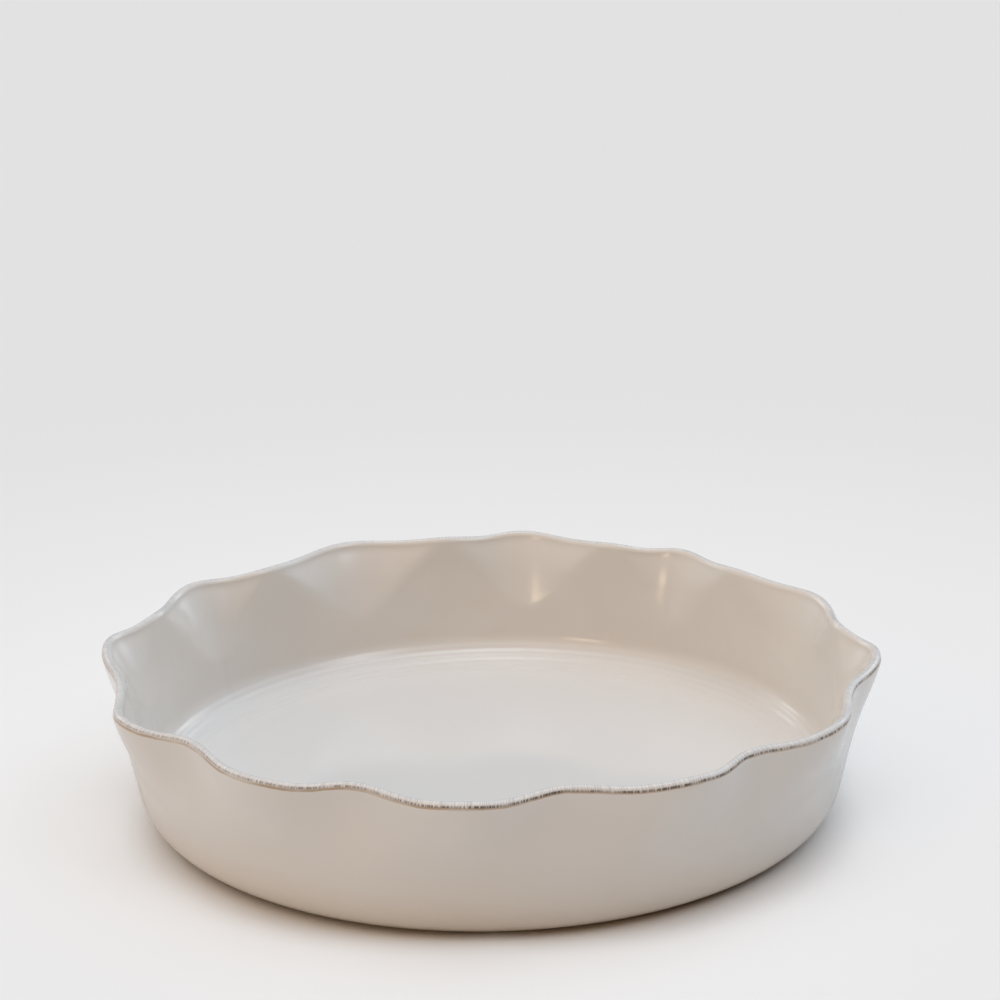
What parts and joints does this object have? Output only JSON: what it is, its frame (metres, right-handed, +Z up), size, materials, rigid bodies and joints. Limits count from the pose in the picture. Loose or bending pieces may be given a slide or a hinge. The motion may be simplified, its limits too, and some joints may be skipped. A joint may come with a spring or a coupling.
{
  "type": "pie dish",
  "caption": "Round glazed ceramic pie dish with a hand-pressed ruffled rim, a flat floor, a rounded cove and a foot ring.",
  "frame": {"origin": "centre of the foot, on the surface that the dish stands on", "axes": "+Z up, out of the dish; +X and +Y lie on the table, and the picture looks along +Y"},
  "size_m": [0.287, 0.2858, 0.0583],
  "materials": {
    "glazed_stoneware": "glossy cream to pale grey glaze, wiped thin on the lip, bare on the foot ring"
  },
  "bodies": {
    "root": {"dish_body": "glazed_stoneware"}
  },
  "joints": []
}
